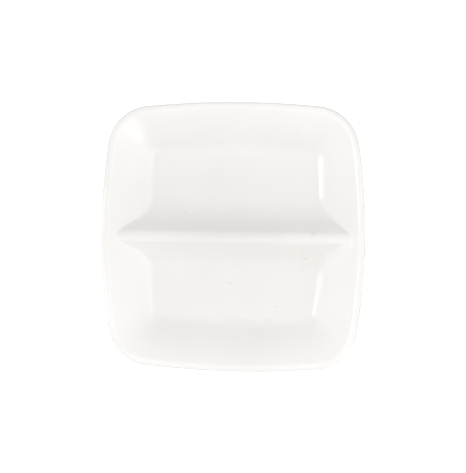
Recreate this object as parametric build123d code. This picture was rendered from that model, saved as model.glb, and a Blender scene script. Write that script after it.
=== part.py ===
from build123d import *
import os
from math import asin, atan2, cos, hypot, radians, sin, tan

# Divided serving dish in glazed white ceramic.
# Millimetres, +Z up, origin on the table under the middle of the dish.
# +X runs along the divider and +Y points to the rear well.
# The clay is a pan with a slot in its floor, a hollow divider luted over the slot and a foot
# ring luted under the base. Glaze covers all three except where the foot stands.

# Rim outline: a square with bowed sides and round corners
width = 150.0
depth = 152.2
height = 29.0
corner_radius = 25.0
end_turn = 8.8
front_turn = 5.6

# Lip and wall
lip_width = 3.2
lip_land = 0.6
lip_inner_radius = 2.0
lip_outer_radius = 1.4
lip_under_radius = 2.0
wall = 4.2
wall_run = 21.5

# Floor, whose end sides are straighter than the rim's
base = 4.2
floor_corner_radius = 5.0
floor_end_turn = 3.0
floor_front_turn = 5.6
well_radius = 1.8
base_edge_radius = 4.5

# Divider
divider_drop = 4.3
divider_half_base = 13.0
divider_top_radius = 3.6
divider_foot_radius = 18.5
divider_wall = 4.2
lute_margin = 0.35

# Recess under the divider
recess_end_gap = 6.4
recess_end_draft = 12.0
recess_top_radius = 3.0
recess_corner_radius = 2.2
recess_mouth_radius = 1.2

# Foot ring
foot_height = 2.8
foot_inset = 5.0
foot_width = 4.0
foot_corner_radius = 10.0
foot_root_radius = 0.8
foot_edge_radius = 1.0

# Glaze
glaze = 0.35
bare_foot_band = 1.3

# How far a cutting tool runs past the clay
past = 2.0

# Levels, angles and offsets that follow from the sizes above
rim_turns = (end_turn, front_turn)
floor_turns = (floor_end_turn, floor_front_turn)
floor_z = foot_height + base
wall_angle = atan2(height - floor_z, wall_run)
half_wall_angle = wall_angle / 2
band_height = wall / cos(wall_angle) - lip_width * tan(wall_angle)
base_inset = (height - band_height - foot_height) / tan(wall_angle)
base_corner_radius = floor_corner_radius + wall * tan(half_wall_angle)
divider_axis_z = height - divider_drop - divider_top_radius
divider_rise = divider_axis_z - floor_z
divider_reach = hypot(divider_half_base, divider_rise)
divider_angle = atan2(divider_rise, divider_half_base) + asin(divider_top_radius / divider_reach)
divider_foot_reach = divider_half_base + divider_foot_radius * tan(divider_angle / 2)
recess_axis_z = divider_axis_z + (divider_top_radius - divider_wall - recess_top_radius) / cos(divider_angle)
foot_joint_z = foot_height - foot_root_radius
foot_inner_inset = base_inset + foot_inset + foot_width
recess_half_length = width / 2 - foot_inner_inset - recess_end_gap

# The lip's inner rounding is no wider than its flat land and outer rounding leave room for
lip_room = lip_width - lip_land - lip_outer_radius
lip_inner = min(lip_inner_radius, lip_room / tan(half_wall_angle))


def outline(inset, corner, turns, z):
    """Face inside a bowed square that lies in from the rim: long side arcs and tangent corner arcs."""
    end_deg, front_deg = turns
    end, front = radians(end_deg), radians(front_deg)
    long_x = width / 2 - inset - corner
    long_y = depth / 2 - inset - corner
    scale = sin(end) * sin(front) - (1 - cos(end)) * (1 - cos(front))
    end_reach = (long_y * sin(front) - long_x * (1 - cos(front))) / scale
    front_reach = (long_x * sin(end) - long_y * (1 - cos(end))) / scale
    end_x, front_y = long_x - end_reach, long_y - front_reach
    corner_x, corner_y = front_reach * sin(front), end_reach * sin(end)
    corner_deg = 90 - end_deg - front_deg
    arcs = [
        CenterArc((end_x, 0), end_reach + corner, -end_deg, 2 * end_deg),
        CenterArc((corner_x, corner_y), corner, end_deg, corner_deg),
        CenterArc((0, front_y), front_reach + corner, 90 - front_deg, 2 * front_deg),
        CenterArc((-corner_x, corner_y), corner, 90 + front_deg, corner_deg),
        CenterArc((-end_x, 0), end_reach + corner, 180 - end_deg, 2 * end_deg),
        CenterArc((-corner_x, -corner_y), corner, 180 + end_deg, corner_deg),
        CenterArc((0, -front_y), front_reach + corner, 270 - front_deg, 2 * front_deg),
        CenterArc((corner_x, -corner_y), corner, 270 + front_deg, corner_deg),
    ]
    return Pos(0, 0, z) * make_face(arcs)


def rim_outline(inset, z):
    """The rim's outline, drawn in by inset all round."""
    return outline(inset, corner_radius - inset, rim_turns, z)


def edges_at(shape, z):
    """The edges of a shape that lie in the level plane z."""
    return [e for e in shape.edges() if all(abs(v.Z - z) < 1e-4 for v in e.vertices())]


def faces_at(shape, z):
    """The flat faces of a shape in the level plane z, the widest first."""
    level = [f for f in shape.faces() if f.geom_type == GeomType.PLANE and abs(f.center().Z - z) < 1e-4]
    return sorted(level, key=lambda f: -f.bounding_box().size.X)


def ridge(axis_z, radius, low_z):
    """Long bar along X whose section is a round crest on two straight slopes, cut off at low_z."""
    crest_y, crest_z = radius * sin(divider_angle), axis_z + radius * cos(divider_angle)
    low_y = crest_y + (crest_z - low_z) / tan(divider_angle)
    section = make_face(
        [
            ThreePointArc((-crest_y, crest_z), (0, axis_z + radius), (crest_y, crest_z)),
            Line((crest_y, crest_z), (low_y, low_z)),
            Line((low_y, low_z), (-low_y, low_z)),
            Line((-low_y, low_z), (-crest_y, crest_z)),
        ]
    )
    return extrude(Plane.YZ * section, width, both=True)


def below(z):
    """A block that takes in everything under the level z."""
    return Pos(0, 0, z - height / 2) * Box(2 * width, 2 * depth, height)


def cavity(skin):
    """The space inside the walls with sharp edges, from the floor to the rim."""
    miter = skin * tan(half_wall_angle)
    floor_face = outline(
        lip_width + wall_run + miter, floor_corner_radius - miter, floor_turns, floor_z + skin
    )
    return loft([floor_face, rim_outline(lip_width + miter, height + skin)], ruled=True)


def along_divider(edge):
    """Whether an edge runs straight along the divider."""
    return edge.geom_type == GeomType.LINE and abs((edge @ 1).Y - (edge @ 0).Y) < 1e-4


def wells(skin):
    """The two hollows to either side of the divider, with their inside corners rounded."""
    low, high = floor_z + skin, height + skin
    hollow = cavity(skin) - ridge(divider_axis_z, divider_top_radius + skin, floor_z - past)
    hollow = fillet([e for e in edges_at(hollow, low) if along_divider(e)], divider_foot_radius - skin)
    corners = [e for e in edges_at(hollow, low) if not along_divider(e)]
    for e in hollow.edges():
        middle = e @ 0.5
        climbs = low + 0.1 < middle.Z < high - 0.1
        if climbs and abs(middle.Y) < divider_foot_reach and abs((e @ 1).Y - (e @ 0).Y) > 0.1:
            corners.append(e)
    return fillet(corners, well_radius - skin)


def recess(skin):
    """The drafted hollow under the divider, open at the underside."""
    lean = radians(recess_end_draft)
    top = recess_axis_z + recess_top_radius + past
    low_x = recess_half_length + (foot_height + past) * tan(lean) - skin / cos(lean)
    high_x = low_x - (top + past) * tan(lean)
    ends = make_face(Polyline((-low_x, -past), (low_x, -past), (high_x, top), (-high_x, top), close=True))
    hollow = ridge(recess_axis_z, recess_top_radius - skin, -past) & extrude(Plane.XZ * ends, depth, both=True)
    corners = []
    for e in hollow.edges():
        if abs((e @ 0.5).Z + past) > 0.1 and abs((e @ 1).Y - (e @ 0).Y) > 0.1:
            corners.append(e)
    return fillet(corners, recess_corner_radius - skin)


def shell(skin):
    """The pan's outside: base, sloping wall and the upright edge of the lip, still solid inside."""
    miter = skin * tan(half_wall_angle)
    band_z = height - band_height - skin * tan(radians(45) - half_wall_angle)
    base_face = outline(base_inset - miter, base_corner_radius + miter, floor_turns, foot_height - skin)
    band_face = rim_outline(-skin, band_z)
    body = loft([base_face, band_face], ruled=True) + extrude(band_face, height + skin - band_z)
    return fillet(edges_at(body, band_z), lip_under_radius + skin)


def foot_band(skin):
    """The foot ring as a plain upright band that runs up into the base."""
    outer = outline(base_inset + foot_inset - skin, foot_corner_radius + skin, floor_turns, 0)
    inner = outline(foot_inner_inset + skin, foot_corner_radius - foot_width - skin, floor_turns, 0)
    return extrude(outer - inner, foot_height + base / 2)


def clay(skin):
    """The whole fired body, grown all over by the thickness of a skin."""
    under, rim = foot_height - skin, height + skin
    body = shell(skin) + foot_band(skin)
    outside, inside = faces_at(body, under)
    roots = outside.inner_wires()[0].edges() + inside.outer_wire().edges()
    body = fillet(roots, foot_root_radius - skin)
    outside = faces_at(body, under)[0]
    body = fillet(outside.outer_wire().edges(), base_edge_radius + skin)
    body = body - recess(skin)
    inside = faces_at(body, under)[1]
    body = fillet(inside.inner_wires()[0].edges(), recess_mouth_radius + skin)
    body = body - wells(skin)
    top = faces_at(body, rim)[0]
    body = fillet(top.inner_wires()[0].edges(), lip_inner + skin)
    top = faces_at(body, rim)[0]
    return fillet(top.outer_wire().edges(), lip_outer_radius + skin)


# The fired body, with the foot's standing face eased
fired = clay(0)
fired = fillet(faces_at(fired, 0)[0].edges(), foot_edge_radius)

# The members that are luted together: the divider keeps its crest and flanks, the pan the slip at its edges
divider_blank = cavity(0) & ridge(divider_axis_z, divider_top_radius + lute_margin, floor_z - past)
divider = fired & divider_blank
foot_ring = fired & below(foot_joint_z)
pan = fired - divider_blank - below(foot_joint_z)

# The glaze: the coat on the outside and in the wells, and the patch inside the foot ring
coats = (clay(glaze) - below(bare_foot_band) - fired).solids()
glaze_coat, underside_glaze = sorted(coats, key=lambda s: -s.volume)

os.makedirs("parts", exist_ok=True)
export_step(pan, "parts/pan.step")
export_step(divider, "parts/divider.step")
export_step(foot_ring, "parts/foot_ring.step")
export_step(glaze_coat, "parts/glaze_coat.step")
export_step(underside_glaze, "parts/underside_glaze.step")
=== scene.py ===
from math import asin, atan2, cos, hypot, pi, radians, sin, tan

import bpy
import numpy as np
from mathutils import Matrix, Vector


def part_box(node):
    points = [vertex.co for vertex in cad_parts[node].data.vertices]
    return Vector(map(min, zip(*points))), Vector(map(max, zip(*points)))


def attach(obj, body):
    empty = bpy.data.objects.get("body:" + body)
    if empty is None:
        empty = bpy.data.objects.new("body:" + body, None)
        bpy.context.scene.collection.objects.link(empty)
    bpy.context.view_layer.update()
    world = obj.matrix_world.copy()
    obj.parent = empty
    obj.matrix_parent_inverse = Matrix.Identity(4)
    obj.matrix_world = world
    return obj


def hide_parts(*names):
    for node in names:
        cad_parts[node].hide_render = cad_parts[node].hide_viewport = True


# Looks of the divided serving dish: glossy white glaze over a pale fired body.
# The dish is worked out in millimetres and written to Blender in metres.
# The table's width, the lamps and the camera are in metres throughout.
# +X runs along the divider and +Y points to the rear well.

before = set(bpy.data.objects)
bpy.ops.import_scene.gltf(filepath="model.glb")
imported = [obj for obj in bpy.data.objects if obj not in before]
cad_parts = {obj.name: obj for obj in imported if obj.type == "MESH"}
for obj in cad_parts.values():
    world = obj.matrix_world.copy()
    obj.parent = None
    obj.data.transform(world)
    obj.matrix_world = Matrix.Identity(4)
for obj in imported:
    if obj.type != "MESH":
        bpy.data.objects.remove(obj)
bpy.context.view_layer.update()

MM = 0.001
BODY = "root"
# Mesh attribute that darkens the glaze on steep rounded edges: partly thin glaze, partly painted shade
# along the lip's outer edge
THIN_AND_EDGE_SHADE_ATTRIBUTE = "thin_glaze_and_edge_shade"

# Thickness of the glaze, and the overall size of the fired body that it covers, from the frame
glaze = 0.35
coat_low, coat_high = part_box("glaze_coat")
width = (coat_high.x - coat_low.x) / MM - 2 * glaze
depth = (coat_high.y - coat_low.y) / MM - 2 * glaze
height = coat_high.z / MM - glaze

# Sizes of the fired body, as the frame's solids have them
corner_radius = 25.0
rim_turns = (radians(8.8), radians(5.6))
lip_width = 3.2
lip_inner_radius = 2.0
lip_outer_radius = 1.4
lip_under_radius = 2.0
wall = 4.2
wall_run = 21.5
base = 4.2
floor_corner_radius = 5.0
floor_turns = (radians(3.0), radians(5.6))
base_edge_radius = 4.5
divider_drop = 4.3
divider_half_base = 13.0
divider_top_radius = 3.6
divider_foot_radius = 18.5
foot_height = 2.8
foot_inset = 5.0
foot_corner_radius = 10.0
foot_root_radius = 0.8
bare_foot_band = 1.3

# Roundings that the glaze gives the inside corners, where it pools. Round a floor they change from the
# end's to the side's across each corner, and beside the divider they change to the valley's as they climb.
end_well_radius = 5.0
side_well_radius = 6.0
side_change = (-0.05, 0.25)
valley_radius = 1.7
valley_climb = (1.0, 9.0)

# The crease at the front right is softer than the others
soft_valley_growth = 4.0
soft_valley_x = (0.0, width / 4)
soft_valley_y = (-2.0, 6.0)

# Rolled edge of the glaze above the bare foot
glaze_roll = 0.10
glaze_roll_height = 0.45

# Unevenness of a fired dish: one end wall leans in towards a front corner, and the glaze ripples
lean_in = 2.6
lean_in_y = (18.0, 50.0)
lean_in_z = (8.5, 22.0)
ripple_seed = 11
ripple_lengths = (11.0, 38.0)
ripple_count = 12
ripple_slope = 0.0018

# Mesh: stations on a quarter of the outline, rings from the divider's crest to the lip and down the outside
end_stations = 44
corner_stations = 34
front_stations = 42
well_rings = 150
ring_shift = 0.12
lip_steps = 11
under_steps = 9
wall_steps = 26
edge_steps = 12
root_steps = 6
foot_steps = 7
crest_half_length = 62.0
coat_thickness = 0.30
back_ring_step = 5

# Search for the glazed surface: halvings, and room below and above it
solve_steps = 34
solve_room = 1.0

# Shares of the wall's height, from floor to rim, between which its outline goes on changing
wall_levels = (-0.15, 1.15)

# Least divisors, for points of the grid that fall together
least_length = 1e-9
least_square = 1e-6

# The table's half width, and how much it is lifted to white for the eye, beside the dish and far from it
table_half = 4.0
table_lift = (0.6, 1.0)
table_lift_reach = (60.0, 300.0)

# Where the lamps round the dish point, and how far off they stand
lamp_target = (0, 0, 0.02)
lamp_distance = 0.6

# Colours, written as linear light
WHITE = (1, 1, 1, 1)
GLAZE_WHITE = (0.915, 0.899, 0.882, 1)
GLAZE_CLOUD = (0.905, 0.886, 0.866, 1)
# Darker warm glaze for steep rounded edges: partly clay showing through thin glaze, partly painted shade on
# the lip's outer edge
GLAZE_THIN_AND_EDGE_SHADE = (0.70, 0.675, 0.645, 1)
SPECK_BROWN = (0.36, 0.30, 0.24, 1)
BISQUE_PALE = (0.78, 0.73, 0.66, 1)
BISQUE_WARM = (0.72, 0.65, 0.56, 1)
TABLE_DIM = (0.90, 0.90, 0.90, 1)
TABLE_BRIGHT = (0.92, 0.92, 0.92, 1)

# Stretches of a cloudy pattern's values that are spread over a whole range, sharply and softly
sharp_band = (0.35, 0.65)
soft_band = (0.3, 0.7)

# Specks as plan places with radii, most of them by the divider's right end
specks = (
    (38.7, -11.0, 0.35), (39.7, -12.9, 0.4), (40.9, -12.8, 0.45), (42.1, -11.0, 0.3), (39.6, -7.8, 0.3),
    (39.0, -18.3, 0.3), (42.5, -17.0, 0.3), (45.7, -15.8, 0.35), (47.9, -16.9, 0.3), (49.2, -5.4, 0.35),
    (51.8, -13.2, 0.3), (53.1, -24.7, 0.35), (-4.7, -27.9, 0.4), (-2.9, -27.9, 0.4), (-29.7, 13.3, 0.35),
    (-19.7, 3.2, 0.35), (-8.3, 53.9, 0.3), (23.5, -41.3, 0.35), (26.5, 19.6, 0.35), (52.9, -45.7, 0.3),
)

# A round stain on the rear of the divider's crest
stain_place = (45.7, 2.4)
stain_radius = 1.5

# Angles and levels that follow
floor_z = foot_height + base
wall_angle = atan2(height - floor_z, wall_run)
miter = glaze * tan(wall_angle / 2)
rim_z = height + glaze
low_z = floor_z + glaze
divider_axis_z = height - divider_drop - divider_top_radius
divider_rise = divider_axis_z - floor_z
divider_reach = hypot(divider_half_base, divider_rise)
divider_angle = atan2(divider_rise, divider_half_base) + asin(divider_top_radius / divider_reach)
band_height = wall / cos(wall_angle) - lip_width * tan(wall_angle)
band_z = height - band_height - glaze * tan(pi / 4 - wall_angle / 2)
base_inset = (height - band_height - foot_height) / tan(wall_angle)
base_corner_radius = floor_corner_radius + wall * tan(wall_angle / 2)
valley_cosine = (cos(wall_angle) + cos(wall_angle) * cos(divider_angle)) / 2


# Outline of the dish

def outline_arcs(inset, corner, turns):
    """The end, front and corner arcs of a bowed square that lies in from the rim by inset."""
    end, front = turns
    long_x = width / 2 - inset - corner
    long_y = depth / 2 - inset - corner
    scale = np.sin(end) * np.sin(front) - (1 - np.cos(end)) * (1 - np.cos(front))
    end_reach = (long_y * np.sin(front) - long_x * (1 - np.cos(front))) / scale
    front_reach = (long_x * np.sin(end) - long_y * (1 - np.cos(end))) / scale
    end_arc = (long_x - end_reach, end_reach + corner)
    front_arc = (long_y - front_reach, front_reach + corner)
    corner_centre = (front_reach * np.sin(front), end_reach * np.sin(end))
    return end_arc, front_arc, corner_centre


def plan_distance(x, y, inset, corner, turns):
    """How far a point of the plan lies outside the outline. It is negative inside."""
    x, y = np.abs(x), np.abs(y)
    (end_x, end_radius), (front_y, front_radius), (corner_x, corner_y) = outline_arcs(inset, corner, turns)
    to_end = np.hypot(x - end_x, y) - end_radius
    to_front = np.hypot(x, y - front_y) - front_radius
    to_corner = np.hypot(x - corner_x, y - corner_y) - corner
    past_end = np.arctan2(y, x - end_x) > turns[0]
    past_front = np.arctan2(x, y - front_y) > turns[1]
    return np.where(past_end & past_front, to_corner, np.maximum(to_end, to_front))


def ring(inset, corner, turns):
    """Points all round the outline, starting on +X, with the same stations at every size."""
    (end_x, end_radius), (front_y, front_radius), (corner_x, corner_y) = outline_arcs(inset, corner, turns)
    end, front = turns
    end_angles = np.linspace(0, end, end_stations, endpoint=False)
    corner_angles = np.linspace(end, pi / 2 - front, corner_stations, endpoint=False)
    front_angles = np.linspace(pi / 2 - front, pi / 2, front_stations + 1)
    x = np.concatenate([
        end_x + end_radius * np.cos(end_angles),
        corner_x + corner * np.cos(corner_angles),
        front_radius * np.cos(front_angles),
    ])
    y = np.concatenate([
        end_radius * np.sin(end_angles),
        corner_y + corner * np.sin(corner_angles),
        front_y + front_radius * np.sin(front_angles),
    ])
    x[-1] = 0.0
    loop_x = np.concatenate([x, -x[-2::-1], -x[1:], x[-2:0:-1]])
    loop_y = np.concatenate([y, y[-2::-1], -y[1:], -y[-2:0:-1]])
    return np.stack([loop_x, loop_y], axis=1)


def rim_ring(inset):
    """The rim's outline, drawn in by inset all round."""
    return ring(inset, corner_radius - inset, rim_turns)


# Surface of the wells

def rounded_union(a, b, radius, cosine):
    """Distance outside two solids whose inside corner is filled to a radius."""
    u, v = radius - a, radius - b
    inside = (u > v * cosine) & (v > u * cosine)
    reach = np.sqrt(np.maximum(u * u + v * v - 2 * u * v * cosine, 0) / (1 - cosine * cosine))
    return np.where(inside, radius - reach, np.minimum(a, b))


def rounded_overlap(a, b, radius, cosine):
    """Distance outside the overlap of two solids whose outside edge is rounded."""
    return -rounded_union(-a, -b, radius, cosine)


def smooth_step(value, start, end):
    """Rises smoothly from 0 at start to 1 at end."""
    t = np.clip((value - start) / (end - start), 0, 1)
    return t * t * (3 - 2 * t)


def wall_distance(x, y, z):
    """Distance from the sloping walls. The outline changes from the floor's to the rim's on the way up."""
    near_corner = smooth_step(-y, *lean_in_y) * (1 - smooth_step(z, *lean_in_z))
    x = x + lean_in * near_corner * (x > 0)
    level = np.clip((z - low_z) / (rim_z - low_z), *wall_levels)
    inset = lip_width + miter + wall_run * (1 - level)
    corner = floor_corner_radius - miter + level * (corner_radius - lip_width - floor_corner_radius)
    end = floor_turns[0] + level * (rim_turns[0] - floor_turns[0])
    front = floor_turns[1] + level * (rim_turns[1] - floor_turns[1])
    return -plan_distance(x, y, inset, corner, (end, front)) * sin(wall_angle)


def divider_distance(y, z):
    """Distance from the ridge: a round crest on two straight slopes."""
    y, up = np.abs(y), z - divider_axis_z
    slope = y * sin(divider_angle) + up * cos(divider_angle)
    on_crest = y * cos(divider_angle) < up * sin(divider_angle)
    return np.where(on_crest, np.hypot(y, up), slope) - divider_top_radius - glaze


def well_field(x, y, z):
    """Distance above the glazed surface of the wells, the divider and the lip's inner side."""
    foot_radius = divider_foot_radius - glaze
    ground = rounded_union(divider_distance(y, z), z - low_z, foot_radius, cos(divider_angle))
    on_side = smooth_step(np.abs(y) / depth - np.abs(x) / width, *side_change)
    floor_radius = end_well_radius + on_side * (side_well_radius - end_well_radius)
    soft = smooth_step(x, *soft_valley_x) * smooth_step(-y, *soft_valley_y)
    crease_radius = valley_radius * (1 + soft_valley_growth * soft)
    climb = smooth_step(z - low_z, *valley_climb) * (1 - on_side)
    radius = floor_radius + climb * (crease_radius - floor_radius)
    inside = rounded_union(ground, wall_distance(x, y, z), radius, valley_cosine)
    return rounded_overlap(inside, z - rim_z, lip_inner_radius + glaze, cos(wall_angle))


def well_height(x, y):
    """Height of the glazed surface over points of the plan."""
    below = np.full_like(x, low_z - solve_room)
    above = np.full_like(x, rim_z + solve_room)
    for _ in range(solve_steps):
        middle = (below + above) / 2
        in_clay = well_field(x, y, middle) < 0
        below = np.where(in_clay, middle, below)
        above = np.where(in_clay, above, middle)
    return (below + above) / 2


def well_grid():
    """Rings of points from the divider's crest line out to the top of the lip."""
    edge = rim_ring(lip_outer_radius)
    count = len(edge)
    along = np.abs(np.arange(count) - count / 2) / (count / 2)
    crest = np.stack([crest_half_length * (2 * along - 1), np.zeros(count)], axis=1)
    share = np.linspace(0, 1, well_rings + 1)
    share = share + ring_shift * np.sin(pi * share) * share
    plan = crest[None] + share[:, None, None] * (edge - crest)[None]
    z = well_height(plan[..., 0].ravel(), plan[..., 1].ravel()).reshape(plan.shape[:2])
    return np.concatenate([plan, z[..., None]], axis=2)


# Outside of the dish, from the lip down to the glaze line on the foot

def level_ring(points, z):
    """Gives a ring of the plan one height."""
    return np.concatenate([points, np.full((len(points), 1), z)], axis=1)


def outside_outline(inset):
    """The outside's outline at an inset: the rim's at the lip, the floor's at the base, then the foot's."""
    stops = (-glaze, base_inset - miter, base_inset + foot_inset - glaze)
    corners = (corner_radius + glaze, base_corner_radius + miter, foot_corner_radius + glaze)
    ends = (rim_turns[0], floor_turns[0], floor_turns[0])
    corner = np.interp(inset, stops, corners)
    end = np.interp(inset, stops, ends)
    return ring(inset, corner, (end, rim_turns[1]))


def lip_rings():
    """Outer rounding of the lip, from just off its flat top down to its upright band."""
    radius = lip_outer_radius + glaze
    rings = []
    for a in np.linspace(pi / 2, 0, lip_steps)[1:]:
        inset = -glaze + radius * (1 - cos(a))
        rings.append(level_ring(rim_ring(inset), rim_z - radius * (1 - sin(a))))
    return rings


def wall_rings():
    """Under the lip, down the outer wall and round the base edge."""
    under = lip_under_radius + glaze
    lean = pi / 2 - wall_angle
    start_z = band_z + under * tan(lean / 2)
    profile = []
    for a in np.linspace(0, lean, under_steps):
        profile.append((-glaze + under * (1 - cos(a)), start_z - under * sin(a)))
    edge = base_edge_radius + glaze
    edge_inset = base_inset - miter + edge * tan(wall_angle / 2)
    edge_z = foot_height - glaze + edge
    top_inset, top_z = profile[-1]
    run = edge_inset - edge * sin(wall_angle) - top_inset
    rise = edge_z - edge * cos(wall_angle) - top_z
    for t in np.linspace(0, 1, wall_steps)[1:-1]:
        profile.append((top_inset + t * run, top_z + t * rise))
    for a in np.linspace(wall_angle, 0, edge_steps):
        profile.append((edge_inset - edge * sin(a), edge_z - edge * cos(a)))
    return [level_ring(outside_outline(inset), z) for inset, z in profile]


def foot_rings():
    """Along the base, into the foot's root and down to the rolled edge of the glaze."""
    side = base_inset + foot_inset - glaze
    root = foot_root_radius - glaze
    root_z = foot_height - glaze - root
    rings = []
    for a in np.linspace(0, pi / 2, root_steps):
        inset, z = side - root * (1 - sin(a)), root_z + root * cos(a)
        rings.append(level_ring(outside_outline(inset), z))
    for t in np.linspace(0, 1, foot_steps)[1:]:
        z = root_z + t * (bare_foot_band - root_z)
        swell = glaze_roll * sin(pi * min(1, (z - bare_foot_band) / glaze_roll_height))
        rings.append(level_ring(outside_outline(side - swell), z))
    return rings


# The coat as one closed mesh

def quads_between(first, second):
    """Faces between two rings of vertex numbers."""
    following = np.roll(first, -1), np.roll(second, -1)
    return np.stack([first, second, following[1], following[0]], axis=1)


def grid_normals(points):
    """Unit normals of a grid of rings, from its own neighbours."""
    across = np.gradient(points, axis=0)
    round_it = np.roll(points, -1, axis=1) - np.roll(points, 1, axis=1)
    normal = np.cross(across, round_it)
    return normal / np.maximum(np.linalg.norm(normal, axis=2, keepdims=True), least_length)


def ripple(points):
    """Height of slow waves in the glaze, the same on every run."""
    draw = np.random.default_rng(ripple_seed)
    total = np.zeros(points.shape[:-1])
    for length in np.linspace(*ripple_lengths, ripple_count):
        direction = draw.normal(size=3)
        direction /= np.linalg.norm(direction)
        phase = draw.uniform(0, 2 * pi)
        turns = points @ direction * (2 * pi / length)
        total += ripple_slope * length / (2 * pi) * np.sin(turns + phase)
    return total


def bend(points, normals, axis):
    """How sharply a grid turns along one of its directions, per millimetre. Outside edges are positive."""
    if axis == 1:
        step = np.roll(points, -1, axis=1) - np.roll(points, 1, axis=1)
        turn = np.roll(normals, -1, axis=1) - np.roll(normals, 1, axis=1)
    else:
        step, turn = np.gradient(points, axis=0), np.gradient(normals, axis=0)
    return (step * turn).sum(axis=2) / np.maximum((step * step).sum(axis=2), least_square)


def coat_mesh():
    """The glaze on the outside and in the wells, with its hidden side against the clay."""
    face = np.concatenate([well_grid(), np.stack(lip_rings() + wall_rings() + foot_rings())])
    rings, count = face.shape[:2]
    mirror = (-np.arange(count)) % count
    normals = grid_normals(face)
    normals[0] = normals[1] + normals[1][mirror]
    normals[0] /= np.linalg.norm(normals[0], axis=1, keepdims=True)
    # Steep rounded edges, the lip's outer edge most, get a share of darkening: partly thin glaze, partly
    # painted shade
    steep = 1 - np.clip(normals[..., 2], 0, 1)
    thin_glaze_and_edge_shade = (bend(face, normals, 0) + bend(face, normals, 1)) * steep
    waves = ripple(face)
    face = face + (waves - waves.max())[..., None] * normals
    back_rows = np.unique(np.append(np.arange(0, rings, back_ring_step), rings - 1))
    back = face[back_rows] - coat_thickness * normals[back_rows]

    numbers = np.arange(rings * count).reshape(rings, count)
    back_numbers = rings * count + np.arange(len(back) * count).reshape(len(back), count)
    fold = np.minimum(np.arange(count), mirror)
    numbers[0] = numbers[0][fold]
    back_numbers[0] = back_numbers[0][fold]
    faces = [quads_between(numbers[k], numbers[k + 1]) for k in range(rings - 1)]
    faces += [quads_between(back_numbers[k + 1], back_numbers[k]) for k in range(len(back) - 1)]
    faces.append(quads_between(numbers[-1], back_numbers[-1]))
    points = np.concatenate([face.reshape(-1, 3), back.reshape(-1, 3)]) * MM
    thin_glaze_and_edge_shade = np.concatenate([thin_glaze_and_edge_shade.ravel(), np.zeros(len(back) * count)])

    used, faces = np.unique(np.concatenate(faces), return_inverse=True)
    mesh = bpy.data.meshes.new("glaze")
    mesh.from_pydata(points[used].tolist(), [], faces.reshape(-1, 4).tolist())
    mesh.shade_smooth()
    thin_and_shade = mesh.attributes.new(THIN_AND_EDGE_SHADE_ATTRIBUTE, "FLOAT", "POINT")
    thin_and_shade.data.foreach_set("value", thin_glaze_and_edge_shade[used].astype(np.float32))
    return mesh


# Materials

class Graph:
    """Short ways to build a material's nodes. Lengths in it are millimetres."""

    def __init__(self, name):
        self.material = bpy.data.materials.new(name)
        self.material.use_nodes = True
        self.nodes, self.links = self.material.node_tree.nodes, self.material.node_tree.links
        self.shader = self.nodes["Principled BSDF"]
        coordinates = self.nodes.new("ShaderNodeTexCoord")
        self.place = self.vector("SCALE", coordinates.outputs["Object"], scale=1 / MM)

    def put(self, socket, value):
        """Links a socket to another one, or sets it to a plain value."""
        if isinstance(value, bpy.types.NodeSocket):
            self.links.new(value, socket)
        else:
            socket.default_value = value

    def vector(self, operation, first, second=None, scale=None):
        """A vector from one or two others, or the distance between two."""
        node = self.nodes.new("ShaderNodeVectorMath")
        node.operation = operation
        self.put(node.inputs[0], first)
        if second is not None:
            self.put(node.inputs[1], second)
        if scale is not None:
            node.inputs["Scale"].default_value = scale
        return node.outputs["Value" if operation == "DISTANCE" else "Vector"]

    def math(self, operation, first, second):
        """A number from two others."""
        node = self.nodes.new("ShaderNodeMath")
        node.operation = operation
        self.put(node.inputs[0], first)
        self.put(node.inputs[1], second)
        return node.outputs[0]

    def noise(self, size, detail=2.0):
        """Soft cloudy pattern whose features are about size across."""
        node = self.nodes.new("ShaderNodeTexNoise")
        self.put(node.inputs["Vector"], self.place)
        node.inputs["Scale"].default_value = 1 / size
        node.inputs["Detail"].default_value = detail
        return node.outputs["Fac"]

    def grains(self, size):
        """Distance to the nearest of many scattered points that lie about size apart."""
        node = self.nodes.new("ShaderNodeTexVoronoi")
        self.put(node.inputs["Vector"], self.place)
        node.inputs["Scale"].default_value = 1 / size
        return self.math("MULTIPLY", node.outputs["Distance"], size)

    def ramp(self, value, start, end, low=0.0, high=1.0):
        """Takes a value from start to end onto low to high, smoothly and without going past."""
        node = self.nodes.new("ShaderNodeMapRange")
        node.interpolation_type = "SMOOTHSTEP"
        self.put(node.inputs["Value"], value)
        for name, number in (("From Min", start), ("From Max", end), ("To Min", low), ("To Max", high)):
            node.inputs[name].default_value = number
        return node.outputs["Result"]

    def blend(self, share, first, second):
        """Mixes two colours. The node's colour sockets come after its sockets for numbers and vectors."""
        first_socket, second_socket, mixed_socket = 6, 7, 2
        node = self.nodes.new("ShaderNodeMix")
        node.data_type = "RGBA"
        self.put(node.inputs["Factor"], share)
        self.put(node.inputs[first_socket], first)
        self.put(node.inputs[second_socket], second)
        return node.outputs[mixed_socket]

    def bump(self, pattern, relief_depth):
        """Fine relief from a pattern, with its depth in millimetres."""
        node = self.nodes.new("ShaderNodeBump")
        node.inputs["Distance"].default_value = relief_depth * MM
        self.put(node.inputs["Height"], pattern)
        self.links.new(node.outputs["Normal"], self.shader.inputs["Normal"])

    def finish(self, colour, roughness):
        """Gives the shader its colour and roughness."""
        self.put(self.shader.inputs["Base Color"], colour)
        self.put(self.shader.inputs["Roughness"], roughness)


def speck_share(graph, spots):
    """How far a point lies in one of a few placed specks, from 0 to 1 across the speck's soft edge."""
    outside, inside = 1.4, 0.6
    total = 0.0
    for place, radius in spots:
        distance = graph.vector("DISTANCE", graph.place, place)
        total = graph.math("MAXIMUM", graph.ramp(distance, outside * radius, inside * radius), total)
    return total


def on_surface(x, y):
    """The point of the glazed surface over a point of the plan."""
    return x, y, float(well_height(np.array([x]), np.array([y]))[0])


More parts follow.
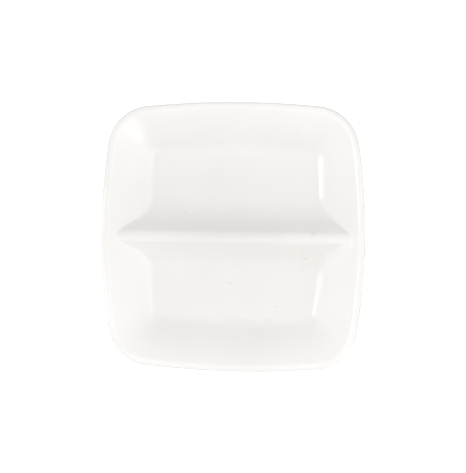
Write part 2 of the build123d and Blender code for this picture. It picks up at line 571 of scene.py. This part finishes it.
def glaze_material():
    """Glossy warm-white glaze: cloudy by a shade, darker on the lip's steep outer edge from thin glaze and
    painted shade, with a few specks.
    """
    cloud_size, thin_and_shade_band = 26.0, (0.2, 0.55)
    scatter_gap, scatter_edge, scatter_strength = 7.0, (0.30, 0.14), 0.45
    speck_strength, stain_strength = 0.3, 0.08
    gloss_size, gloss_range = 9.0, (0.05, 0.10)
    relief_size, relief_detail, relief_depth = 2.4, 1.0, 0.006

    graph = Graph("white_glaze")
    clouds = graph.ramp(graph.noise(cloud_size), *sharp_band)
    colour = graph.blend(clouds, GLAZE_WHITE, GLAZE_CLOUD)
    # Darkens steep rounded edges: partly thin glaze, partly painted shade along the lip's outer edge
    thin_and_shade = graph.nodes.new("ShaderNodeAttribute")
    thin_and_shade.attribute_name = THIN_AND_EDGE_SHADE_ATTRIBUTE
    colour = graph.blend(graph.ramp(thin_and_shade.outputs["Fac"], *thin_and_shade_band), colour, GLAZE_THIN_AND_EDGE_SHADE)
    scattered = graph.ramp(graph.grains(scatter_gap), *scatter_edge, 0.0, scatter_strength)
    placed = speck_share(graph, [(on_surface(x, y), radius) for x, y, radius in specks])
    share = graph.math("MAXIMUM", scattered, graph.math("MULTIPLY", placed, speck_strength))
    colour = graph.blend(share, colour, SPECK_BROWN)
    stained = speck_share(graph, [(on_surface(*stain_place), stain_radius)])
    colour = graph.blend(graph.math("MULTIPLY", stained, stain_strength), colour, SPECK_BROWN)
    graph.finish(colour, graph.ramp(graph.noise(gloss_size), *soft_band, *gloss_range))
    graph.bump(graph.noise(relief_size, relief_detail), relief_depth)
    return graph.material


def bisque_material():
    """Pale fired clay without glaze: matt, sandy and a little uneven in tone."""
    cloud_size, cloud_detail = 5.0, 4.0
    grain_gap, grain_edge, grain_strength = 1.6, (0.22, 0.10), 0.6
    matt_size, matt_range = 1.0, (0.78, 0.95)
    relief_size, relief_detail, relief_depth = 0.35, 3.0, 0.04

    graph = Graph("bisque")
    clouds = graph.ramp(graph.noise(cloud_size, cloud_detail), *sharp_band)
    colour = graph.blend(clouds, BISQUE_PALE, BISQUE_WARM)
    sand = graph.ramp(graph.grains(grain_gap), *grain_edge, 0.0, grain_strength)
    colour = graph.blend(sand, colour, SPECK_BROWN)
    graph.finish(colour, graph.ramp(graph.noise(matt_size), *soft_band, *matt_range))
    graph.bump(graph.noise(relief_size, relief_detail), relief_depth)
    return graph.material


# The stage: table, surroundings, lamps and camera

def seen_directly(nodes, links):
    """One for rays from the eye and for those mirrored in gloss or sent through glass."""
    path = nodes.new("ShaderNodeLightPath")
    seen = path.outputs["Is Camera Ray"]
    for name in ("Is Glossy Ray", "Is Transmission Ray"):
        either = nodes.new("ShaderNodeMath")
        either.operation = "MAXIMUM"
        links.new(seen, either.inputs[0])
        links.new(path.outputs[name], either.inputs[1])
        seen = either.outputs[0]
    return seen


def table_material():
    """White table that looks white to the eye and in reflections, and keeps the shadow."""
    cloud_size = 60.0
    graph = Graph("table_white")
    tone = graph.blend(graph.ramp(graph.noise(cloud_size), *soft_band), TABLE_DIM, TABLE_BRIGHT)
    graph.finish(tone, 1.0)
    graph.put(graph.shader.inputs["Specular IOR Level"], 0.0)
    graph.put(graph.shader.inputs["Emission Color"], WHITE)
    from_dish = graph.vector("DISTANCE", graph.place, (0, 0, 0))
    lift = graph.ramp(from_dish, *table_lift_reach, *table_lift)
    seen = seen_directly(graph.nodes, graph.links)
    graph.put(graph.shader.inputs["Emission Strength"], graph.math("MULTIPLY", seen, lift))
    return graph.material


def add_table():
    """A wide level table."""
    signs = ((-1, -1), (1, -1), (1, 1), (-1, 1))
    corners = [(x * table_half, y * table_half, 0) for x, y in signs]
    mesh = bpy.data.meshes.new("table")
    mesh.from_pydata(corners, [], [(0, 1, 2, 3)])
    table = bpy.data.objects.new("table", mesh)
    bpy.context.scene.collection.objects.link(table)
    mesh.materials.append(table_material())


def set_world():
    """Surroundings that show as plain white and shed no light of their own."""
    world = bpy.data.worlds.new("surroundings")
    bpy.context.scene.world = world
    world.use_nodes = True
    nodes, links = world.node_tree.nodes, world.node_tree.links
    background = nodes["Background"]
    background.inputs["Color"].default_value = WHITE
    links.new(seen_directly(nodes, links), background.inputs["Strength"])


def add_panel(name, place, size, radiance, target=lamp_target, shine=False):
    """A soft rectangular panel that faces a target. It lights the dish, or else is seen in its gloss."""
    lamp = bpy.data.lights.new(name, "AREA")
    lamp.shape = "RECTANGLE"
    lamp.size, lamp.size_y = size
    lamp.energy = radiance * pi * size[0] * size[1]
    panel = bpy.data.objects.new(name, lamp)
    panel.location = place
    panel.rotation_euler = (Vector(target) - Vector(place)).to_track_quat("-Z", "Y").to_euler()
    panel.visible_camera = False
    panel.visible_diffuse = not shine
    panel.visible_glossy = shine
    bpy.context.scene.collection.objects.link(panel)


def around(azimuth, elevation, distance=lamp_distance):
    """A place round the dish: azimuth in degrees from +X towards +Y, and elevation from the table."""
    a, e = radians(azimuth), radians(elevation)
    return distance * cos(e) * cos(a), distance * cos(e) * sin(a), lamp_target[2] + distance * sin(e)


def add_soft_boxes():
    """Boxes in a grid over the dish that face down. Places and sizes count the grid's steps."""
    step, level = 0.065, 0.13
    boxes = (
        (-1, -1, 1, 1, 1.6), (0, -1, 1, 1, 1.35), (1, -1, 1, 1, 1.6),
        (-1, 1, 1, 1, 0.7), (0, 1, 1, 1, 1.7), (1, 1, 1, 1, 0.75),
        (0, 2, 3, 1, 0.7), (-2, 0, 1, 3, 0.95), (2, 0, 1, 3, 1.15),
    )
    for x, y, wide, deep, radiance in boxes:
        size = (wide * step, deep * step)
        add_panel("box", (x * step, y * step, level), size, radiance, target=(x * step, y * step, 0))


def add_lip_strips():
    """A strip along each side of the lip, just over it. The ends' strips stand further in."""
    level, short, long = 0.07, 0.03, 0.16
    end_out, side_out = 0.068, 0.1
    strips = ((0, end_out, 0.42), (90, side_out, 0.6), (180, end_out, 0.42), (270, side_out, 0.82))
    for azimuth, out, radiance in strips:
        x, y, _ = around(azimuth, 0, out)
        size = (short, long) if out == end_out else (long, short)
        add_panel("lip_strip", (x, y, level), size, radiance, target=(x, y, 0))


def add_side_panels():
    """Panels that stand round the dish, by azimuth and radiance, at three elevations in degrees."""
    high, high_size = 32, (0.3, 0.3)
    low, low_size = 12, (0.3, 0.15)
    lowest, lowest_size, lowest_radiance = 3.5, (0.4, 0.06), 3.5
    right, rear, left, front, front_right = 0, 90, 180, 270, 315
    for azimuth, radiance in ((right, 3.0), (rear, 0.4), (left, 2.55), (front, 1.3)):
        add_panel("panel", around(azimuth, high), high_size, radiance)
    low_panels = ((right, 2.7), (rear, 0.95), (left, 4.3), (front, 2.0), (front_right, 1.4))
    for azimuth, radiance in low_panels:
        add_panel("low_panel", around(azimuth, low), low_size, radiance)
    add_panel("rear_low_panel", around(rear, lowest), lowest_size, lowest_radiance)


def add_streaks():
    """Strips on the left that show only in the glaze, as a streak at the right end of each floor."""
    streak_x, streak_z = 0.053, 0.01
    upper_x, upper_z, upper_long, upper_radiance = -0.300, 0.495, 0.21, 5.0
    lower_x, lower_z, lower_long, lower_radiance = -0.456, 0.328, 0.255, 2.5
    rear_strips, front_strips = (-0.003, 0.064, 0.025), (-0.096, 0.092, -0.035)
    for y, wide, streak_y in (rear_strips, front_strips):
        streak = (streak_x, streak_y, streak_z)
        upper, upper_size = (upper_x, y, upper_z), (wide, upper_long)
        add_panel("left_strip", upper, upper_size, upper_radiance, target=streak, shine=True)
        lower, lower_size = (lower_x, y, lower_z), (wide, lower_long)
        add_panel("left_low_strip", lower, lower_size, lower_radiance, target=streak, shine=True)


def add_sheen():
    """Wide panels on the right that show only in the glaze, at the left ends of the wells."""
    front_place = around(azimuth=-58, elevation=32)
    front_size, front_radiance = (0.4, 0.7), 1.4
    wide_place = around(azimuth=0, elevation=35)
    wide_size, wide_radiance = (0.5, 0.4), 1.3
    add_panel("right_front", front_place, front_size, front_radiance, shine=True)
    add_panel("right_wide", wide_place, wide_size, wide_radiance, shine=True)


def add_camera():
    """Camera nearly overhead, leaning a little to the right and the rear."""
    lean_x, lean_y, roll = radians(7.56), radians(3.75), radians(-0.36)
    distance, lens, near_limit = 0.750, 100.97, 0.01
    aim = Vector((0, 0, 0.027))
    aside, upward = 0.00068, 0.00055
    back = Vector((cos(lean_y) * sin(lean_x), sin(lean_y), cos(lean_y) * cos(lean_x)))
    right = Vector((0, 1, 0)).cross(back).normalized()
    up = back.cross(right)
    turned_right = cos(roll) * right - sin(roll) * up
    turned_up = sin(roll) * right + cos(roll) * up
    place = aim + distance * back + aside * turned_right + upward * turned_up
    turn = Matrix((turned_right, turned_up, back)).transposed().to_4x4()
    data = bpy.data.cameras.new("camera")
    data.lens = lens
    data.clip_start = near_limit
    camera = bpy.data.objects.new("camera", data)
    camera.matrix_world = Matrix.Translation(place) @ turn
    bpy.context.scene.collection.objects.link(camera)
    bpy.context.scene.camera = camera


def dress():
    """Puts the glaze on and gives every piece its material."""
    coat = bpy.data.objects.new("glaze_skin", coat_mesh())
    bpy.context.scene.collection.objects.link(coat)
    glazed, fired = glaze_material(), bisque_material()
    coat.data.materials.append(glazed)
    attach(coat, BODY)
    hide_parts("glaze_coat")
    finishes = {"pan": fired, "divider": fired, "foot_ring": fired, "underside_glaze": glazed}
    for name, finish in finishes.items():
        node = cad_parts[name]
        node.data.materials.clear()
        node.data.materials.append(finish)


dress()
add_table()
set_world()
add_soft_boxes()
add_lip_strips()
add_side_panels()
add_streaks()
add_sheen()
add_camera()
bpy.context.scene.view_settings.view_transform = "Standard"
